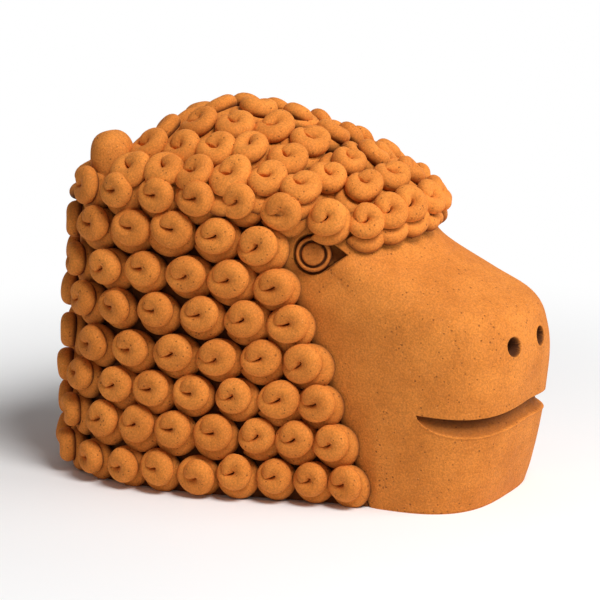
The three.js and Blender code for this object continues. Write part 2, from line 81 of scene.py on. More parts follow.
# Smooth curve through the face levels at height z
def faceAt(z):
    rows = faceShape["rows"]
    z = min(max(z, rows[0][0]), rows[-1][0])
    after = next(k for k in range(1, len(rows)) if z <= rows[k][0])
    low, high = rows[after - 1], rows[after]
    below = rows[after - 2] if after > 1 else high
    above = rows[after + 1] if after + 1 < len(rows) else low
    half = (high[0] - low[0]) / 2
    wBelow, wAbove = half / (low[0] - below[0]), half / (above[0] - high[0])
    p = (z - low[0]) / (high[0] - low[0])
    p2, p3 = p * p, p * p * p
    sBelow = -wBelow * p3 + 2 * wBelow * p2 - wBelow * p
    sLow = (1 + wBelow) * p3 + (-1.5 - 2 * wBelow) * p2 + (-0.5 + wBelow) * p + 1
    sHigh = (-1 - wAbove) * p3 + (1.5 + wAbove) * p2 + 0.5 * p
    sAbove = wAbove * p3 - wAbove * p2
    return [sBelow * a + sLow * b + sHigh * c + sAbove * d
            for a, b, c, d in zip(below[1:], low[1:], high[1:], above[1:])]


def maneHalfAt(y):
    return lerp(headShape["cheekHalf"], headShape["maneHalf"],
                smoothstep(y, headShape["cheekY"], headShape["wideY"]))


def leanAt(z):
    return 1 - headShape["wallLean"] / headShape["maneHalf"] * z / headShape["sideRim"]


def hairlineAt(z):
    return headShape["cheekY"] + headShape["hairSlope"] * z


# Right half of the head's outer surface
def skin(t, z, inset=0):
    lean = leanAt(z)
    wideY = headShape["wideY"]
    if t > 1:
        angle = (t - 1) * math.pi / 2
        power = 2 / headShape["backSquare"]
        x = (headShape["maneHalf"] * lean - inset) * max(math.cos(angle), 0) ** power
        depth = headShape["backDepth"] - headShape["backLean"] * z / headShape["sideRim"]
        y = wideY + (depth - inset) * max(math.sin(angle), 0) ** power
        return Vector((-x, y, z))
    hairline = hairlineAt(z)
    if t > 0:
        y = lerp(hairline, wideY, t)
        return Vector((inset - maneHalfAt(y) * lean, y, z))
    front, half, side, square = faceAt(z)
    turn, bend = 1 + t, faceShape["bend"]
    if turn < bend:
        angle = turn / bend * math.pi / 2
        x = (half - inset) * math.sin(angle) ** (2 / square)
        y = side + (front + inset - side) * math.cos(angle) ** (2 / square)
        return Vector((-x, y, z))
    share = (turn - bend) / (1 - bend)
    x = lerp(half, maneHalfAt(hairline) * lean, share) - inset
    return Vector((-x, lerp(side, hairline, share), z))


def hull(t, z, inset=0):
    if t < -1 or t > 2:
        point = skin(-2 - t if t < -1 else 4 - t, z, inset)
        point.x = -point.x
        return point
    return skin(t, z, inset)


def rimAt(t):
    t = -2 - t if t < -1 else 4 - t if t > 2 else t
    if t < 1:
        return lerp(headShape["browRim"], headShape["sideRim"], smoothstep(t, *headShape["browTurns"]))
    return lerp(headShape["sideRim"], headShape["backRim"], smoothstep(t, *headShape["backTurns"]))


# Crown's edge from above, with its bearing and reach from the apex
crownSteps = 240
crownEdge = []
for step in range(crownSteps + 1):
    t = lerp(-1, 2, step / crownSteps)
    edge = skin(t, rimAt(t))
    ahead = headShape["apexY"] - edge.y
    crownEdge.append({"bearing": math.atan2(-edge.x, ahead), "reach": math.hypot(edge.x, ahead),
                      "rim": rimAt(t), "x": edge.x, "y": edge.y})


def edgeWhere(key, value):
    after = next((k for k in range(1, crownSteps) if crownEdge[k][key] >= value), crownSteps)
    low, high = crownEdge[after - 1], crownEdge[after]
    share = min(max((value - low[key]) / (high[key] - low[key]), 0), 1)
    return {name: lerp(low[name], high[name], share) for name in low}


def dome(x, y):
    ahead = headShape["apexY"] - y
    edge = edgeWhere("bearing", math.atan2(abs(x), ahead))
    share = min(math.hypot(x, ahead) / edge["reach"], 1)
    lift = (1 - share ** headShape["domeSpread"]) ** headShape["domeBend"]
    return Vector((x, y, lerp(edge["rim"], headShape["apexHeight"], lift)))


# Length along a line of places, and the share of the line at any length
def walkAlong(placeAt, steps=300):
    places = [placeAt(k / steps) for k in range(steps + 1)]
    sums = [0]
    for k in range(steps):
        sums.append(sums[-1] + (places[k + 1] - places[k]).length)

    def shareAt(length):
        k = next((k for k in range(1, steps) if sums[k] >= length), steps)
        return (k - 1 + (length - sums[k - 1]) / (sums[k] - sums[k - 1])) / steps
    return sums[-1], shareAt


# The head's frame in the row frame: same size, slid along Y until the face's back edge meets its solid
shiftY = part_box("face_shell")[1].y - hairlineAt(headShape["sideRim"]) * mm
toRow = Matrix.Translation((0, shiftY, 0)) @ Matrix.Scale(mm, 4)


def addPiece(name, bm, material, nodes, levels=0):
    bmesh.ops.transform(bm, matrix=toRow, verts=bm.verts)
    mesh = bpy.data.meshes.new(name)
    bm.to_mesh(mesh)
    bm.free()
    mesh.shade_smooth()
    mesh.materials.append(material)
    piece = bpy.data.objects.new(name, mesh)
    scene.collection.objects.link(piece)
    if levels:
        soft = piece.modifiers.new("soften", "SUBSURF")
        soft.levels = levels
        soft.render_levels = levels
    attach(piece, "root")
    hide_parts(*nodes)


print("materials")


def addNode(tree, kind, inputs=(), **settings):
    node = tree.nodes.new(kind)
    for key, value in settings.items():
        setattr(node, key, value)
    for key, value in dict(inputs).items():
        if isinstance(value, bpy.types.NodeSocket):
            tree.links.new(value, node.inputs[key])
        else:
            node.inputs[key].default_value = value
    return node


def mathNode(tree, operation, a, b, c=0.5):
    return addNode(tree, "ShaderNodeMath", {0: a, 1: b, 2: c}, operation=operation).outputs[0]


def rangeNode(tree, value, fromLow, fromHigh, toLow=0, toHigh=1):
    inputs = {"Value": value, "From Min": fromLow, "From Max": fromHigh, "To Min": toLow, "To Max": toHigh}
    return addNode(tree, "ShaderNodeMapRange", inputs, interpolation_type="SMOOTHSTEP").outputs["Result"]


def mixColor(tree, factor, a, b, blend="MIX"):
    node = addNode(tree, "ShaderNodeMix", data_type="RGBA", blend_type=blend)
    for socket, value in ((node.inputs[0], factor), (node.inputs[6], a), (node.inputs[7], b)):
        if isinstance(value, bpy.types.NodeSocket):
            tree.links.new(value, socket)
        else:
            socket.default_value = value
    return node.outputs[2]


def brighter(tree, color, share):
    gray = addNode(tree, "ShaderNodeCombineColor", {"Red": share, "Green": share, "Blue": share})
    return mixColor(tree, 1.0, color, gray.outputs["Color"], "MULTIPLY")


def noiseNode(tree, place, scale, detail, roughness):
    inputs = {"Vector": place, "Scale": scale, "Detail": detail, "Roughness": roughness}
    return addNode(tree, "ShaderNodeTexNoise", inputs).outputs["Fac"]


# Noise as scale, detail and roughness; spots as cells, size and share of cells; spreads as from and to
clayGrain = {
    "cloud": (55, 4, 0.6), "patch": (0.32, 0.7), "fine": (1100, 4, 0.65), "middle": (260, 3, 0.6),
    "speck": (0.3, 0.72, 0.78, 1.15), "rough": (0.3, 0.7, 0.78, 0.95), "middleHeight": 0.8,
    "pits": (620, 0.25, 0.24), "pitColor": (0.12, 0.032, 0.006, 1), "pitDepth": 1.2,
    "grog": (640, 0.18, 0.2), "grogColor": (0.8, 0.38, 0.12, 1), "leastSpot": 0.45, "spotEdge": 0.5,
    "wipeScale": (24, 24, 330), "wipeTurn": (0.12, 0, 0), "wipe": (1, 3, 0.6), "smear": (0.35, 0.7, -1, 1),
    "smearTint": 0.03, "smearHeight": 0.3, "bumpDistance": 0.0006, "specular": 0.25,
}


# Fired clay body: cloudy tone, dark pits and pale grog, with the height of its grain
def clayGroup():
    tree = bpy.data.node_groups.new("clayBody", "ShaderNodeTree")
    sockets = {
        "INPUT": {"Tone": "Color", "Shade": "Color", "Pits": "Float", "Grog": "Float", "Grain": "Float",
                  "Streak": "Float"},
        "OUTPUT": {"Color": "Color", "Roughness": "Float", "Height": "Float"},
    }
    for direction, kinds in sockets.items():
        for name, kind in kinds.items():
            tree.interface.new_socket(name, in_out=direction, socket_type="NodeSocket" + kind)
    given = tree.nodes.new("NodeGroupInput")
    result = tree.nodes.new("NodeGroupOutput")
    place = addNode(tree, "ShaderNodeTexCoord").outputs["Object"]
    patch = rangeNode(tree, noiseNode(tree, place, *clayGrain["cloud"]), *clayGrain["patch"])
    fine = noiseNode(tree, place, *clayGrain["fine"])
    middle = noiseNode(tree, place, *clayGrain["middle"])
    color = mixColor(tree, patch, given.outputs["Shade"], given.outputs["Tone"])
    color = brighter(tree, color, rangeNode(tree, fine, *clayGrain["speck"]))

    # a cell shows as a pit or a grain of grog only where its own random value says so
    def spots(scale, size, share):
        cells = addNode(tree, "ShaderNodeTexVoronoi", {"Vector": place, "Scale": scale})
        pick = addNode(tree, "ShaderNodeSeparateColor", {"Color": cells.outputs["Color"]})
        some = mathNode(tree, "LESS_THAN", pick.outputs["Red"], share)
        wide = mathNode(tree, "MULTIPLY_ADD", pick.outputs["Green"], size, size * clayGrain["leastSpot"])
        near = mathNode(tree, "SUBTRACT", wide, cells.outputs["Distance"])
        return mathNode(tree, "MULTIPLY", rangeNode(tree, near, 0.0, size * clayGrain["spotEdge"]), some)
    pits = mathNode(tree, "MULTIPLY", spots(*clayGrain["pits"]), given.outputs["Pits"])
    grog = mathNode(tree, "MULTIPLY", spots(*clayGrain["grog"]), given.outputs["Grog"])
    color = mixColor(tree, pits, color, clayGrain["pitColor"])
    color = mixColor(tree, grog, color, clayGrain["grogColor"])

    # wiping drew the wet clay out sideways
    wiped = addNode(tree, "ShaderNodeMapping", {"Vector": place, "Scale": clayGrain["wipeScale"],
                                                "Rotation": clayGrain["wipeTurn"]})
    wipe = noiseNode(tree, wiped.outputs["Vector"], *clayGrain["wipe"])
    smear = mathNode(tree, "MULTIPLY", rangeNode(tree, wipe, *clayGrain["smear"]), given.outputs["Streak"])
    bright = mathNode(tree, "MULTIPLY_ADD", smear, clayGrain["smearTint"], 1.0)
    tree.links.new(brighter(tree, color, bright), result.inputs["Color"])
    tree.links.new(rangeNode(tree, middle, *clayGrain["rough"]), result.inputs["Roughness"])
    grain = mathNode(tree, "ADD", fine, mathNode(tree, "MULTIPLY", middle, clayGrain["middleHeight"]))
    grain = mathNode(tree, "MULTIPLY", grain, given.outputs["Grain"])
    height = mathNode(tree, "SUBTRACT", grain, mathNode(tree, "MULTIPLY", pits, clayGrain["pitDepth"]))
    height = mathNode(tree, "ADD", height, mathNode(tree, "MULTIPLY", smear, clayGrain["smearHeight"]))
    tree.links.new(height, result.inputs["Height"])
    return tree


clayBody = clayGroup()
# Where the attribute named by darkBy is low, the colour turns to its dark, a painted shade
clayLookAndPaintedShade = {
    # the face darkens to painted shade in the mouth, nostrils and eye sockets, and with darker scraped clay
    # along the mane's edge
    "face": {"tone": (0.7, 0.232, 0.037, 1), "shade": (0.58, 0.18, 0.026, 1), "pits": 0.6, "grog": 0.45,
             "grain": 0.8, "streak": 0.3, "bump": 0.6,
             "darkBy": "open", "darkRange": (0.0, 1.0), "dark": (0.08, 0.021, 0.004, 1)},
    # the eye's clay is a darker copy of the face's, a painted shade for the sunk eye
    "eye": {"tone": (0.56, 0.172, 0.026, 1), "shade": (0.46, 0.134, 0.019, 1), "pits": 0.35, "grog": 0.2,
            "grain": 0.4, "streak": 0.0, "bump": 0.3,
            "darkBy": "open", "darkRange": (0.0, 1.0), "dark": (0.08, 0.021, 0.004, 1)},
    # the walls' and crown slab's dark tones are clay darkened as painted shade for the gaps between the
    # curls
    "wall": {"tone": (0.2, 0.056, 0.01, 1), "shade": (0.12, 0.032, 0.006, 1), "pits": 0.8, "grog": 0.2,
             "grain": 0.9, "streak": 0.0, "bump": 0.6},
    "crown": {"tone": (0.32, 0.094, 0.016, 1), "shade": (0.22, 0.061, 0.01, 1), "pits": 0.8, "grog": 0.2,
              "grain": 0.9, "streak": 0.0, "bump": 0.6},
    # the curls darken to painted shade low down and in their creases
    "curl": {"tone": (0.77, 0.256, 0.041, 1), "shade": (0.65, 0.202, 0.03, 1), "pits": 0.6, "grog": 0.4,
             "grain": 0.7, "streak": 0.0, "bump": 0.5,
             "darkBy": "rise", "darkRange": (-0.05, 0.48), "dark": (0.055, 0.014, 0.002, 1)},
}


def clayMaterial(name, lookAndPaintedShade):
    material = bpy.data.materials.new(name)
    material.use_nodes = True
    tree = material.node_tree
    surface = tree.nodes["Principled BSDF"]
    surface.inputs["Specular IOR Level"].default_value = clayGrain["specular"]
    body = addNode(tree, "ShaderNodeGroup", node_tree=clayBody)
    for key in ("tone", "shade", "pits", "grog", "grain", "streak"):
        body.inputs[key.capitalize()].default_value = lookAndPaintedShade[key]
    color = body.outputs["Color"]
    # painted shade: the dark colour mixed in where the attribute is low
    if "dark" in lookAndPaintedShade:
        value = addNode(tree, "ShaderNodeAttribute", attribute_name=lookAndPaintedShade["darkBy"]).outputs["Fac"]
        color = mixColor(tree, rangeNode(tree, value, *lookAndPaintedShade["darkRange"]), lookAndPaintedShade["dark"], color)
    bump = addNode(tree, "ShaderNodeBump", {"Height": body.outputs["Height"], "Strength": lookAndPaintedShade["bump"],
                                            "Distance": clayGrain["bumpDistance"]})
    tree.links.new(color, surface.inputs["Base Color"])
    tree.links.new(body.outputs["Roughness"], surface.inputs["Roughness"])
    tree.links.new(bump.outputs["Normal"], surface.inputs["Normal"])
    return material


curlClay = clayMaterial("curlClay", clayLookAndPaintedShade["curl"])
faceClay = clayMaterial("faceClay", clayLookAndPaintedShade["face"])
eyeClayPaintedShade = clayMaterial("eyeClayPaintedShade", clayLookAndPaintedShade["eye"])
wallClayPaintedShade = clayMaterial("wallClayPaintedShade", clayLookAndPaintedShade["wall"])
crownClayPaintedShade = clayMaterial("crownClayPaintedShade", clayLookAndPaintedShade["crown"])

# walls and crown slab take the painted-shade clay
slabs = {"right_wall": wallClayPaintedShade, "left_wall": wallClayPaintedShade, "back_wall": wallClayPaintedShade, "crown_slab": crownClayPaintedShade}
for name, material in slabs.items():
    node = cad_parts[name]
    node.data.materials.clear()
    node.data.materials.append(material)

print("face")
# A reach or nostril turn is a share of the way from the face's middle (0) to the hairline (1)
mouth = {
    "top": 46.2, "dip": 2.4, "dipEnd": 0.9, "reach": 0.64, "gap": 8.2, "depth": 7, "aim": 0.55,
    "cornerBlunt": 7, "cornerDepth": 0.5, "cornerBend": 4, "edge": 0.9, "overEdge": 0.3,
    "ledge": 0.34, "ledgeEdge": 0.5, "floorBend": 0.8, "burr": 0.4, "burrWide": 0.8,
    "ledgeDark": 0.42, "deepDark": 0.4, "darkFrom": 0.15, "fineShare": 1.1, "fineEdge": 2.5,
}
nostrils = {
    "height": 74.2, "middle": -6.5, "apart": 25, "bore": 8.2, "depth": 10.5, "turn": 0.4,
    "edge": (-0.35, 0.55), "darkEdge": (-0.5, -0.1), "rim": 0.45, "rimOut": 0.9, "rimWide": 1.8,
}
# dark is the share of painted shade in the eye sockets
eyes = {
    "height": 113, "reach": 0.72, "turn": math.radians(70), "tilt": math.radians(12), "socketDepth": 5.5,
    "socketRound": 9.2, "socketTip": 15.5, "edge": (-0.2, 0.8), "dark": 0.55,
    "near": 14, "fineNear": 12, "fineEdge": 3,
}


# Eye frame: X towards the nose, Z out of the eye
def eyeFrame(side):
    turn, tilt = eyes["turn"], eyes["tilt"]
    out = Vector((-math.sin(turn) * math.cos(tilt), -math.cos(turn) * math.cos(tilt), math.sin(tilt)))
    ahead = Vector((math.cos(turn), -math.sin(turn), 0))
    placed = Matrix((ahead, out.cross(ahead), out)).transposed().to_4x4()
    placed.translation = skin(-1 + eyes["reach"], eyes["height"])
    return placed if side < 0 else Matrix.Scale(-1, 4, (1, 0, 0)) @ placed


eyeFrames = {side: eyeFrame(side) for side in (-1, 1)}
eyeInverse = {side: eyeFrames[side].inverted() for side in (-1, 1)}


# How far a place in the eye frame lies inside the almond socket
def insideSocket(x, y):
    radius = eyes["socketRound"]
    spread = math.acos(radius / eyes["socketTip"])
    if abs(math.atan2(y, x)) < spread:
        return radius - (x * math.cos(spread) + abs(y) * math.sin(spread))
    return radius - math.hypot(x, y)


# Share of the way to the mouth's corner, how far below the upper lip, and the gap there
def mouthPlace(turn, z):
    share = abs(turn) / mouth["reach"]
    top = mouth["top"] - mouth["dip"] * math.sin(mouth["dipEnd"] * math.pi * min(share, 1))
    return share, top - z, mouth["gap"] * math.sqrt(max(1 - share ** mouth["cornerBlunt"], 0))


def fromNostril(point):
    across = abs(point.x - nostrils["middle"]) - nostrils["apart"] / 2
    return math.hypot(across, point.z - nostrils["height"])


def nearNostril(turn, point):
    return fromNostril(point) < nostrils["bore"] and abs(turn) < nostrils["turn"]


def nearFeature(turn, point):
    share, fromTop, gap = mouthPlace(turn, point.z)
    if share < mouth["fineShare"] and -mouth["fineEdge"] < fromTop < gap + mouth["fineEdge"]:
        return True
    if nearNostril(turn, point):
        return True
    place = eyeInverse[-1 if point.x < 0 else 1] @ point
    return abs(place.z) < eyes["fineNear"] and insideSocket(place.x, place.y) > -eyes["fineEdge"]


# Columns are spread evenly along this line, at a height between mouth and nose
def spreadLine(share):
    return skin(-1 + share * faceShape["end"], faceShape["spreadHeight"])


faceLength, faceShare = walkAlong(spreadLine)


def turnAcross(across):
    return math.copysign(faceShare(abs(across) * faceLength) * faceShape["end"], across)


def facePoint(turn, level, inset=0):
    t = -1 + turn
    middle = math.cos(turn * math.pi / 2)
    sink = faceShape["sink"] * inset * middle * math.sin(math.pi * min(max(2 * level - 1, 0), 1)) ** 2
    point = hull(t, level * (rimAt(t) - faceShape["rimGap"]), inset)
    point.z -= sink
    return point


def faceGrid(bm):
    return bmesh.ops.create_grid(bm, x_segments=faceShape["columns"], y_segments=faceShape["levels"],
                                 size=1)["verts"]


bm = bmesh.new()
turnOf = bm.verts.layers.float.new("turn")
levelOf = bm.verts.layers.float.new("level")
openOf = bm.verts.layers.float.new("open")
outer = faceGrid(bm)
for vert in outer:
    vert[turnOf] = turnAcross(-vert.co.x)
    vert[levelOf] = (vert.co.y + 1) / 2
    vert.co = facePoint(vert[turnOf], vert[levelOf])
near = {vert for vert in outer if nearFeature(vert[turnOf], vert.co)}
fineFaces = [face for face in bm.faces if all(vert in near for vert in face.verts)]
fineEdges = list({edge for face in fineFaces for edge in face.edges})
bmesh.ops.subdivide_edges(bm, edges=fineEdges, cuts=faceShape["fineCuts"], use_grid_fill=True)
print("face vertices", len(bm.verts))


# Each cut gives the moved place and how open to the light it stays, which the colour shows as painted shade
def cutMouth(point, turn):
    opened = 1.0
    out = Vector((point.x, point.y - faceAt(point.z)[2] * mouth["aim"], 0)).normalized()
    share, fromTop, gap = mouthPlace(turn, point.z)
    if share >= 1:
        return point, opened
    if -mouth["edge"] < fromTop < gap:
        depth = mouth["depth"] * (1 - mouth["cornerDepth"] * share ** mouth["cornerBend"])
        slope = lerp(1, mouth["ledge"], min(max(fromTop / gap, 0), 1) ** mouth["floorBend"])
        groove = slope * smoothstep(fromTop, -mouth["overEdge"], mouth["edge"])
        groove *= smoothstep(gap - fromTop, 0, mouth["ledgeEdge"])
        point = point - out * depth * groove
        # painted shade inside the mouth, deepest under the upper lip
        dark = mouth["ledgeDark"] + mouth["deepDark"] * smoothstep(groove, mouth["ledge"], 1)
        opened = 1 - dark * smoothstep(groove, 0, mouth["darkFrom"])
    fromBurr = (fromTop - gap - mouth["burrWide"] / 2) / mouth["burrWide"]
    return point + out * mouth["burr"] * math.exp(-(fromBurr * 2) ** 2), opened


def boreNostril(point, turn):
    if not nearNostril(turn, point):
        return point, 1.0
    fromEdge = nostrils["bore"] / 2 - fromNostril(point)
    hole = smoothstep(fromEdge, *nostrils["edge"])
    rim = math.exp(-((fromEdge + nostrils["rimOut"]) / nostrils["rimWide"] * 2) ** 2)
    point.y += nostrils["depth"] * hole - nostrils["rim"] * rim * (1 - hole)
    # painted shade inside the nostril
    return point, 1 - smoothstep(fromEdge, *nostrils["darkEdge"])


def sinkSocket(point):
    side = -1 if point.x < 0 else 1
    place = eyeInverse[side] @ point
    if abs(place.z) >= eyes["near"]:
        return point, 1.0
    inside = smoothstep(insideSocket(place.x, place.y), *eyes["edge"])
    place.z = lerp(place.z, -eyes["socketDepth"], inside)
    # painted shade in the eye socket
    return eyeFrames[side] @ place if inside else point, 1 - eyes["dark"] * inside


def sculptFace(vert):
    turn = vert[turnOf]
    point, mouthOpen = cutMouth(facePoint(turn, vert[levelOf]), turn)
    point, nostrilOpen = boreNostril(point, turn)
    vert.co, socketOpen = sinkSocket(point)
    # darker along the mane's edge: scraped clay there, and painted shade in the crevice
    hairShade = smoothstep(1 - abs(turn), *faceShape["hairShade"])
    vert[openOf] = min(mouthOpen, nostrilOpen, socketOpen) * hairShade


for vert in bm.verts:
    sculptFace(vert)
inner = faceGrid(bm)
for vert in inner:
    vert.co = facePoint(turnAcross(-vert.co.x), (vert.co.y + 1) / 2, faceShape["thick"])
innerFaces = list({face for vert in inner for face in vert.link_faces})
bmesh.ops.reverse_faces(bm, faces=innerFaces)
bmesh.ops.bridge_loops(bm, edges=[edge for edge in bm.edges if edge.is_boundary])
addPiece("faceClay", bm, faceClay, ["face_shell"])

print("eyes")
# Turret profile: distance from the eye's axis and height over the socket's edge
eyeTurret = {
    "profile": [(0, 1.6), (3.8, 1.55), (4.8, 1.3), (5.1, 0.5), (5.2, -0.9), (6.1, -1.0), (6.3, 0.2),
                (6.5, 1.0), (7.0, 1.25), (7.6, 1.0), (7.95, 0.1), (8.2, -2.5), (8.5, -5.3), (0, -5.3)],
    "steps": 28, "weld": 0.001, "shadeFade": (-1.1, 1.2), "dark": 0.15,
}


def addEye(name, side):
    bm = bmesh.new()
    openOf = bm.verts.layers.float.new("open")
    line = [bm.verts.new((reach, 0, rise)) for reach, rise in eyeTurret["profile"]]
    edges = [bm.edges.new(pair) for pair in zip(line, line[1:])]
    bmesh.ops.spin(bm, geom=line + edges, cent=(0, 0, 0), axis=(0, 0, 1), angle=2 * math.pi,
                   steps=eyeTurret["steps"], use_merge=True)
    bmesh.ops.remove_doubles(bm, verts=bm.verts, dist=eyeTurret["weld"])
    for vert in bm.verts:
        # painted shade on the turret's flank, low in the socket
        vert[openOf] = lerp(eyeTurret["dark"], 1, smoothstep(vert.co.z, *eyeTurret["shadeFade"]))
    bmesh.ops.transform(bm, matrix=eyeFrames[side], verts=bm.verts)
    bmesh.ops.recalc_face_normals(bm, faces=bm.faces)
    addPiece(name, bm, eyeClayPaintedShade, ["right_eye" if side < 0 else "left_eye"], levels=1)


addEye("rightEyeTurret", -1)
addEye("leftEyeTurret", 1)

print("curls")
# One rope of clay coiled nearly twice from a thin tucked end
# Sizes are the cage's, which the subdivision draws in
curlShape = {
    "ropeWide": 5.4, "ropeHigh": 4.9, "sides": 6, "start": math.radians(186), "stepTurn": math.radians(-48),
    "rings": [2.8, 4.1, 4.8, 5.0, 5.0, 5.0, 5.0, 5.2, 5.7, 6.4, 7.0, 7.3, 7.3, 7.3, 7.1, 6.8],
    "middles": [9.2, 9.4, 9.4, 9.4, 9.3, 9.2, 8.9, 8.1, 6.8, 4.9, 3.5, 2.6, 2.3, 2.3, 2.3, 2.2],
    "sizes": [0.66, 0.9, 1, 1, 1, 1, 1, 1, 1, 1, 1, 1, 1, 1, 1, 0.9],
    "footSlide": (-0.9, -2.8), "slideSteps": (6, 10), "capInset": 1.2, "capRise": 0.3, "height": 13,
    "crease": 0.6, "creaseUnder": (0.1, 0.8), "creaseWithin": (0, 0.5), "lumpScale": 0.16, "lumpFar": 99,
    "wobble": 0.8, "turnSpread": 0.25, "tiltSpread": 0.08, "sizeSpread": 0.05, "heightSpread": 0.05,
    "seed": 11,
}
chance = random.Random(curlShape["seed"])
noise.seed_set(curlShape["seed"])  # unseeded, the lumps would differ from run to run


# Where the rope's cross-section stands after some steps along the coil
def ropePlace(step):
    shape = curlShape
    slide = Vector((*shape["footSlide"], 0)) * smoothstep(step, *shape["slideSteps"])
    size = shape["sizes"][step]
    turned = Matrix.Rotation(shape["start"] + step * shape["stepTurn"], 4, "Z")
    moved = Matrix.Translation((shape["rings"][step], 0, shape["middles"][step]))
    return Matrix.Translation(slide) @ turned @ moved @ Matrix.Diagonal(
        (shape["ropeWide"] * size, 1, shape["ropeHigh"] * size, 1))


# Painted shade gathers under the upper turn and where the lower turn meets it
def creaseAt(step, place):
    local = ropePlace(step).inverted() @ place
    upper = 1 - smoothstep(step, *curlShape["slideSteps"])
    under = smoothstep(-local.z, *curlShape["creaseUnder"])
    within = smoothstep(-local.x, *curlShape["creaseWithin"])
    return curlShape["crease"] * lerp(within, under, upper)


def coilCage(bm):
    creaseOf = bm.verts.layers.float.new("crease")
    verts = bmesh.ops.create_circle(bm, segments=curlShape["sides"], radius=1)["verts"]
    edges = bm.edges[:]
    bmesh.ops.rotate(bm, verts=verts, cent=(0, 0, 0), matrix=Matrix.Rotation(math.pi / 2, 3, "X"))
    bmesh.ops.transform(bm, matrix=ropePlace(0), verts=verts)
    for step in range(1, len(curlShape["rings"])):
        added = bmesh.ops.extrude_edge_only(bm, edges=edges)["geom"]
        verts = [part for part in added if isinstance(part, bmesh.types.BMVert)]
        edges = [part for part in added if isinstance(part, bmesh.types.BMEdge)
                 and all(vert in verts for vert in part.verts)]
        bmesh.ops.transform(bm, matrix=ropePlace(step) @ ropePlace(step - 1).inverted(), verts=verts)
        for vert in verts:
            vert[creaseOf] = creaseAt(step, vert.co)
    caps = bmesh.ops.holes_fill(bm, edges=bm.edges, sides=curlShape["sides"])["faces"]
    bmesh.ops.recalc_face_normals(bm, faces=bm.faces)
    bmesh.ops.inset_individual(bm, faces=caps, thickness=curlShape["capInset"], depth=curlShape["capRise"])


# A seat is a place, its outward normal and the viewer's up direction over the surface
def wallSeat(t, z):
    step = 0.01
    along = (hull(t + step, z) - hull(t - step, z)).normalized()
    rise = (hull(t, z + 1) - hull(t, z - 1)).normalized()
    return hull(t, z), rise.cross(along).normalized(), rise


# Curls on the crown lean away from its apex
def domeSeat(x, y):
    step = 0.5
    along = (dome(x + step, y) - dome(x - step, y)).normalized()
    back = (dome(x, y + step) - dome(x, y - step)).normalized()
    leaning = Vector((x * mane["rowLean"][0], (y - headShape["apexY"]) * mane["rowLean"][1], 0))
    return dome(x, y), (along.cross(back) + leaning).normalized(), along if x < mane["upTurnsAt"] else -along


def mirroredSeat(seat):
    return tuple(Vector((-part.x, part.y, part.z)) for part in seat)


def addCurls(name, node, seats, across, upright=1, turnSpread=curlShape["turnSpread"]):
    bm = bmesh.new()
    riseOf = bm.verts.layers.float.new("rise")
    coilCage(bm)
    creaseOf = bm.verts.layers.float["crease"]
    for vert in bm.verts:
        # low and creased parts of each curl take painted shade
        vert[riseOf] = vert.co.z / curlShape["height"] - vert[creaseOf]
    pattern = bm.verts[:] + bm.edges[:] + bm.faces[:]
    for place, normal, up in seats:
        copied = bmesh.ops.duplicate(bm, geom=pattern)["geom"]
        verts = [part for part in copied if isinstance(part, bmesh.types.BMVert)]
        lump = Vector((chance.uniform(-curlShape["lumpFar"], curlShape["lumpFar"]) for _ in range(3)))
        for vert in verts:
            vert.co += noise.noise_vector(vert.co * curlShape["lumpScale"] + lump) * curlShape["wobble"]
        turned = Matrix.Rotation(chance.gauss(0, turnSpread), 4, "Z")
        grown = 1 + chance.uniform(-1, 1) * curlShape["sizeSpread"]
        raised = 1 + chance.uniform(-1, 1) * curlShape["heightSpread"]
        sized = Matrix.Diagonal((across * grown, upright * grown, raised, 1))
        tilt = curlShape["tiltSpread"]
        tilted = Matrix.Rotation(chance.gauss(0, tilt), 4, "X")
        tilted = tilted @ Matrix.Rotation(chance.gauss(0, tilt), 4, "Y")
        right = up.cross(normal).normalized()
        seated = Matrix((right, normal.cross(right), normal)).transposed().to_4x4()
        seated.translation = place
        bmesh.ops.transform(bm, matrix=seated @ tilted @ sized @ turned, verts=verts)
    bmesh.ops.delete(bm, geom=pattern, context="VERTS")
    addPiece(name, bm, curlClay, [node], levels=2)


# Courses from the lowest up, the fringe over the brow and the rows over the crown
mane = {
    "courses": 8, "footCentre": 12.5, "edgeDrop": 3, "bow": 7, "bowTurn": 1.6,
    "footPitch": 17.6, "pitch": 20.2, "pitchCourses": 3, "first": 3, "lastTurn": 1.55, "joint": 0.5,
    "fringe": 7, "fringePitch": 11.9, "fringeWide": 0.97, "fringeTilt": 0.3, "fringeDrop": 5,
    "fringeSink": 2.5,
    "rows": 9, "rowPitch": 18.8, "firstRow": 27.6, "lastRow": 4, "rowEase": -0.0366, "rowInset": 4,
    "rowWide": 15.4, "rowTall": 13.6, "rowBow": 9.5, "bowReach": 35, "rowLean": (0.011, 0.005),
    "rowTurnSpread": 0.5, "upTurnsAt": 10, "lapRise": 6, "apart": 9,
}
curlWide = 18  # spacing that the curl's own width is made for
lastCourse = mane["courses"] - 1
coursePitch = (headShape["sideRim"] - mane["edgeDrop"] - mane["footCentre"]) / lastCourse

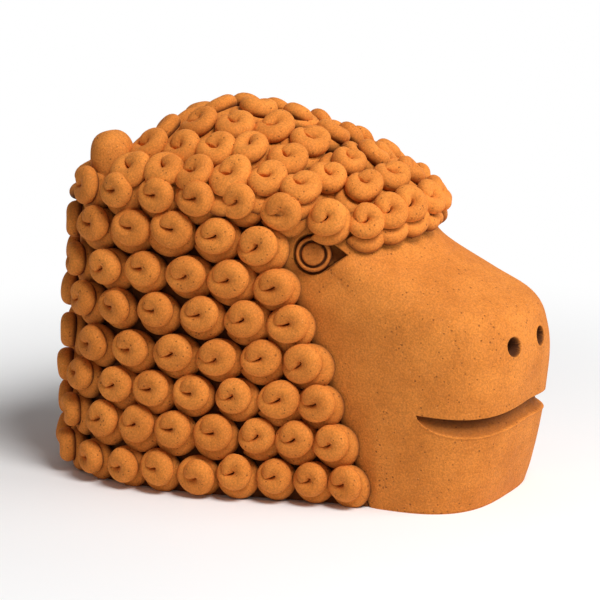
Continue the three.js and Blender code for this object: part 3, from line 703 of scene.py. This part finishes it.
for course in range(lastCourse):
    bow = mane["bow"] * (course / lastCourse) ** 2
    pitch = lerp(mane["footPitch"], mane["pitch"], min(course / mane["pitchCourses"], 1))

    def courseLine(t):
        rise = math.sin(math.pi * min(max(t / mane["bowTurn"], 0), 1)) - 0.5
        return t, mane["footCentre"] + course * coursePitch + bow * rise
    length, shareAt = walkAlong(lambda share: hull(*courseLine(share * 2)))
    count = 1
    while shareAt(mane["first"] + count * pitch) * 2 < mane["lastTurn"]:
        count += 1
    right = [wallSeat(*courseLine(shareAt(mane["first"] + k * pitch) * 2)) for k in range(count)]
    number = course + 1
    addCurls(f"rightCourse{number}", f"right_course_{number}", right, pitch / curlWide)
    left = [mirroredSeat(seat) for seat in right]
    addCurls(f"leftCourse{number}", f"left_course_{number}", left, pitch / curlWide)
    start = mane["first"] + (count - 0.5) * pitch + mane["joint"]
    backCount = round(2 * (length - start) / pitch)
    spacing = 2 * (length - start) / backCount
    half = [wallSeat(*courseLine(shareAt(length - abs(k - (backCount - 1) / 2) * spacing) * 2))
            for k in range(backCount)]
    back = [seat if k < backCount / 2 else mirroredSeat(seat) for k, seat in enumerate(half)]
    addCurls(f"backCourse{number}", f"back_course_{number}", back, spacing / curlWide)

# The top course follows the crown's rim, and the fringe leans over the brow on the rim itself
rimEnd = mane["lastTurn"] + 1


def rimPlace(share):
    t = -1 + share * rimEnd
    return hull(t, rimAt(t) - mane["edgeDrop"])


rimLength, rimShare = walkAlong(rimPlace)


def rimSeat(length, drop, tilt=0.0):
    t = -1 + rimShare(length) * rimEnd
    place, normal, rise = wallSeat(t, rimAt(t) - drop)
    turned = Matrix.Rotation(tilt, 3, normal.cross(rise))
    return place, turned @ normal, turned @ rise


fringeSide = mane["fringe"] // 2
fringe = []
for k in range(fringeSide + 1):
    place, normal, rise = rimSeat(k * mane["fringePitch"], mane["fringeDrop"] * (k / fringeSide) ** 2,
                                  mane["fringeTilt"])
    fringe.append((place - normal * mane["fringeSink"], normal, rise))
fringeSeats = fringe + [mirroredSeat(seat) for seat in fringe[1:]]
addCurls("browFringe", "brow_fringe", fringeSeats, mane["fringeWide"])
fringeEnd = (fringeSide + 0.5) * mane["fringePitch"]
count = math.ceil((rimLength - fringeEnd) / mane["pitch"])
spacing = (rimLength - fringeEnd) / count
top = [rimSeat(fringeEnd + (k + 0.5) * spacing, mane["edgeDrop"]) for k in range(count)]
number = mane["courses"]
addCurls(f"rightCourse{number}", f"right_course_{number}", top, spacing / curlWide)
left = [mirroredSeat(seat) for seat in top]
addCurls(f"leftCourse{number}", f"left_course_{number}", left, spacing / curlWide)

print("ears")
ear = {
    "wide": 23.5, "deep": 20.5, "tall": 30, "turn": 0.44, "inset": 5, "lift": 5.5, "skew": 0.06, "clear": 15,
    "around": 20, "rings": 12, "straight": 2.8, "round": 0.42, "pole": 0.999, "lumpScale": 1.3, "lump": 0.05,
}
earPlace = skin(1 + ear["turn"], headShape["sideRim"], ear["inset"])
earPlace.z = headShape["sideRim"] + ear["lift"]


# A thumb-like lobe: straight sides, round top, leaning back a little
def addEar(name, node, side):
    bm = bmesh.new()
    openOf = bm.verts.layers.float.new("open")
    bmesh.ops.create_uvsphere(bm, u_segments=ear["around"], v_segments=ear["rings"], radius=1)
    for vert in bm.verts:
        vert[openOf] = 1.0
        up = min(abs(vert.co.z), ear["pole"])
        fuller = (1 - up ** ear["straight"]) ** ear["round"] / math.sqrt(1 - up * up)
        vert.co.x *= fuller
        vert.co.y = vert.co.y * fuller + ear["skew"] * vert.co.z
        vert.co += noise.noise_vector(vert.co * ear["lumpScale"]) * ear["lump"]
    bmesh.ops.scale(bm, verts=bm.verts, vec=(ear["wide"] / 2, ear["deep"] / 2, ear["tall"] / 2))
    bmesh.ops.translate(bm, verts=bm.verts, vec=(-side * earPlace.x, earPlace.y, earPlace.z))
    addPiece(name, bm, faceClay, [node], levels=2)


addEar("rightEar", "right_ear", -1)
addEar("leftEar", "left_ear", 1)

print("crown curls")
lastRow = mane["rows"] - 1
rowEnds = crownEdge[0]["y"] + mane["firstRow"], crownEdge[-1]["y"] - mane["lastRow"]
middles = [lerp(*rowEnds, row / lastRow + mane["rowEase"] * math.sin(math.pi * row / lastRow))
           for row in range(mane["rows"])]
rimLaps = [place + normal * mane["lapRise"] for place, normal, _ in fringe + top]


def clearOfRim(seat):
    lap = seat[0] + seat[1] * mane["lapRise"]
    lap.x = -abs(lap.x)
    return all((lap - other).length > mane["apart"] for other in rimLaps)


for row, middle in enumerate(middles):
    bow = mane["rowBow"] * smoothstep(headShape["wideY"] - middle, mane["bowReach"], 2 * mane["bowReach"])
    half = -edgeWhere("y", middle)["x"]

    def rowPlace(share):
        across = -math.cos(share * math.pi)
        return half * across, middle - bow * (1 - across * across)
    length, shareAt = walkAlong(lambda share: dome(*rowPlace(share)))
    inset = mane["rowInset"]
    count = max(round((length - 2 * inset) / mane["rowPitch"]) + 1, 2)
    spacing = (length - 2 * inset) / (count - 1)
    seats = [domeSeat(*rowPlace(shareAt(inset + k * spacing))) for k in range(count)]
    free = [seat for seat in seats if clearOfRim(seat)
            and math.hypot(abs(seat[0].x) + earPlace.x, seat[0].y - earPlace.y) > ear["clear"]]
    tall = middles[1] - middle if row == 0 else middle - middles[row - 1]
    addCurls(f"crownRow{row + 1}", f"crown_row_{row + 1}", free,
             tall / mane["rowTall"], spacing / mane["rowWide"], mane["rowTurnSpread"])

print("floor, light and camera")
stage = {"reach": 4, "sides": 64, "tone": (0.9, 0.9, 0.9, 1), "roughness": 0.9, "fade": (0.16, 0.42),
         "white": (1, 1, 1, 1), "sky": 0.19, "lampAim": (0, 0, 0.08)}
bm = bmesh.new()
bmesh.ops.create_circle(bm, cap_ends=True, segments=stage["sides"], radius=stage["reach"])
mesh = bpy.data.meshes.new("floor")
bm.to_mesh(mesh)
bm.free()
floor = bpy.data.objects.new("floor", mesh)
scene.collection.objects.link(floor)
floorPaint = bpy.data.materials.new("floorPaint")
floorPaint.use_nodes = True
mesh.materials.append(floorPaint)


# Rays that show a surface instead of lighting the head
def shownRays(tree):
    rays = addNode(tree, "ShaderNodeLightPath")
    shown = mathNode(tree, "MAXIMUM", rays.outputs["Is Camera Ray"], rays.outputs["Is Glossy Ray"])
    return mathNode(tree, "MAXIMUM", shown, rays.outputs["Is Transmission Ray"])


# The floor keeps the shadow near the head and goes to plain white farther out
tree = floorPaint.node_tree
paint = tree.nodes["Principled BSDF"]
paint.inputs["Base Color"].default_value = stage["tone"]
paint.inputs["Roughness"].default_value = stage["roughness"]
white = addNode(tree, "ShaderNodeEmission", {"Color": stage["white"], "Strength": 1.0})
place = addNode(tree, "ShaderNodeTexCoord").outputs["Object"]
away = addNode(tree, "ShaderNodeVectorMath", {0: place}, operation="LENGTH").outputs["Value"]
far = mathNode(tree, "MULTIPLY", rangeNode(tree, away, *stage["fade"]), shownRays(tree))
mixed = addNode(tree, "ShaderNodeMixShader", {0: far, 1: paint.outputs[0], 2: white.outputs[0]})
tree.links.new(mixed.outputs[0], tree.nodes["Material Output"].inputs["Surface"])

lamps = {
    "key": {"place": (-0.46, -0.83, 1.37), "size": 0.7, "power": 23},
    "front": {"place": (0.35, -1.3, 0.75), "size": 0.9, "power": 8.6},
}
for name, lamp in lamps.items():
    light = bpy.data.lights.new(name, "AREA")
    light.shape = "DISK"
    light.size = lamp["size"]
    light.energy = lamp["power"]
    holder = bpy.data.objects.new(name, light)
    holder.location = lamp["place"]
    holder.rotation_mode = "QUATERNION"
    holder.rotation_quaternion = (Vector(stage["lampAim"]) - holder.location).to_track_quat("-Z", "Y")
    scene.collection.objects.link(holder)

world = bpy.data.worlds.new("studio")
scene.world = world
world.use_nodes = True
tree = world.node_tree
sky = tree.nodes["Background"]
sky.inputs["Color"].default_value = stage["white"]
sky.inputs["Strength"].default_value = stage["sky"]
seen = addNode(tree, "ShaderNodeBackground", {"Color": stage["white"], "Strength": 1.0})
mixed = addNode(tree, "ShaderNodeMixShader", {0: shownRays(tree), 1: sky.outputs[0], 2: seen.outputs[0]})
tree.links.new(mixed.outputs[0], tree.nodes["World Output"].inputs["Surface"])

# The target is in the head's millimetres, the distance in metres
view = {"azimuth": math.radians(-63), "elevation": math.radians(13.2), "distance": 1.5, "lens": 195.3,
        "sensor": 36, "target": (-2.6, 0, 80)}
camera = bpy.data.objects.new("camera", bpy.data.cameras.new("camera"))
camera.data.lens = view["lens"]
camera.data.sensor_width = view["sensor"]
level = math.cos(view["elevation"])
back = Vector((math.sin(view["azimuth"]) * level, -math.cos(view["azimuth"]) * level,
               math.sin(view["elevation"])))
camera.location = toRow @ Vector(view["target"]) + back * view["distance"]
camera.rotation_mode = "QUATERNION"
camera.rotation_quaternion = back.to_track_quat("Z", "Y")
scene.collection.objects.link(camera)
scene.camera = camera
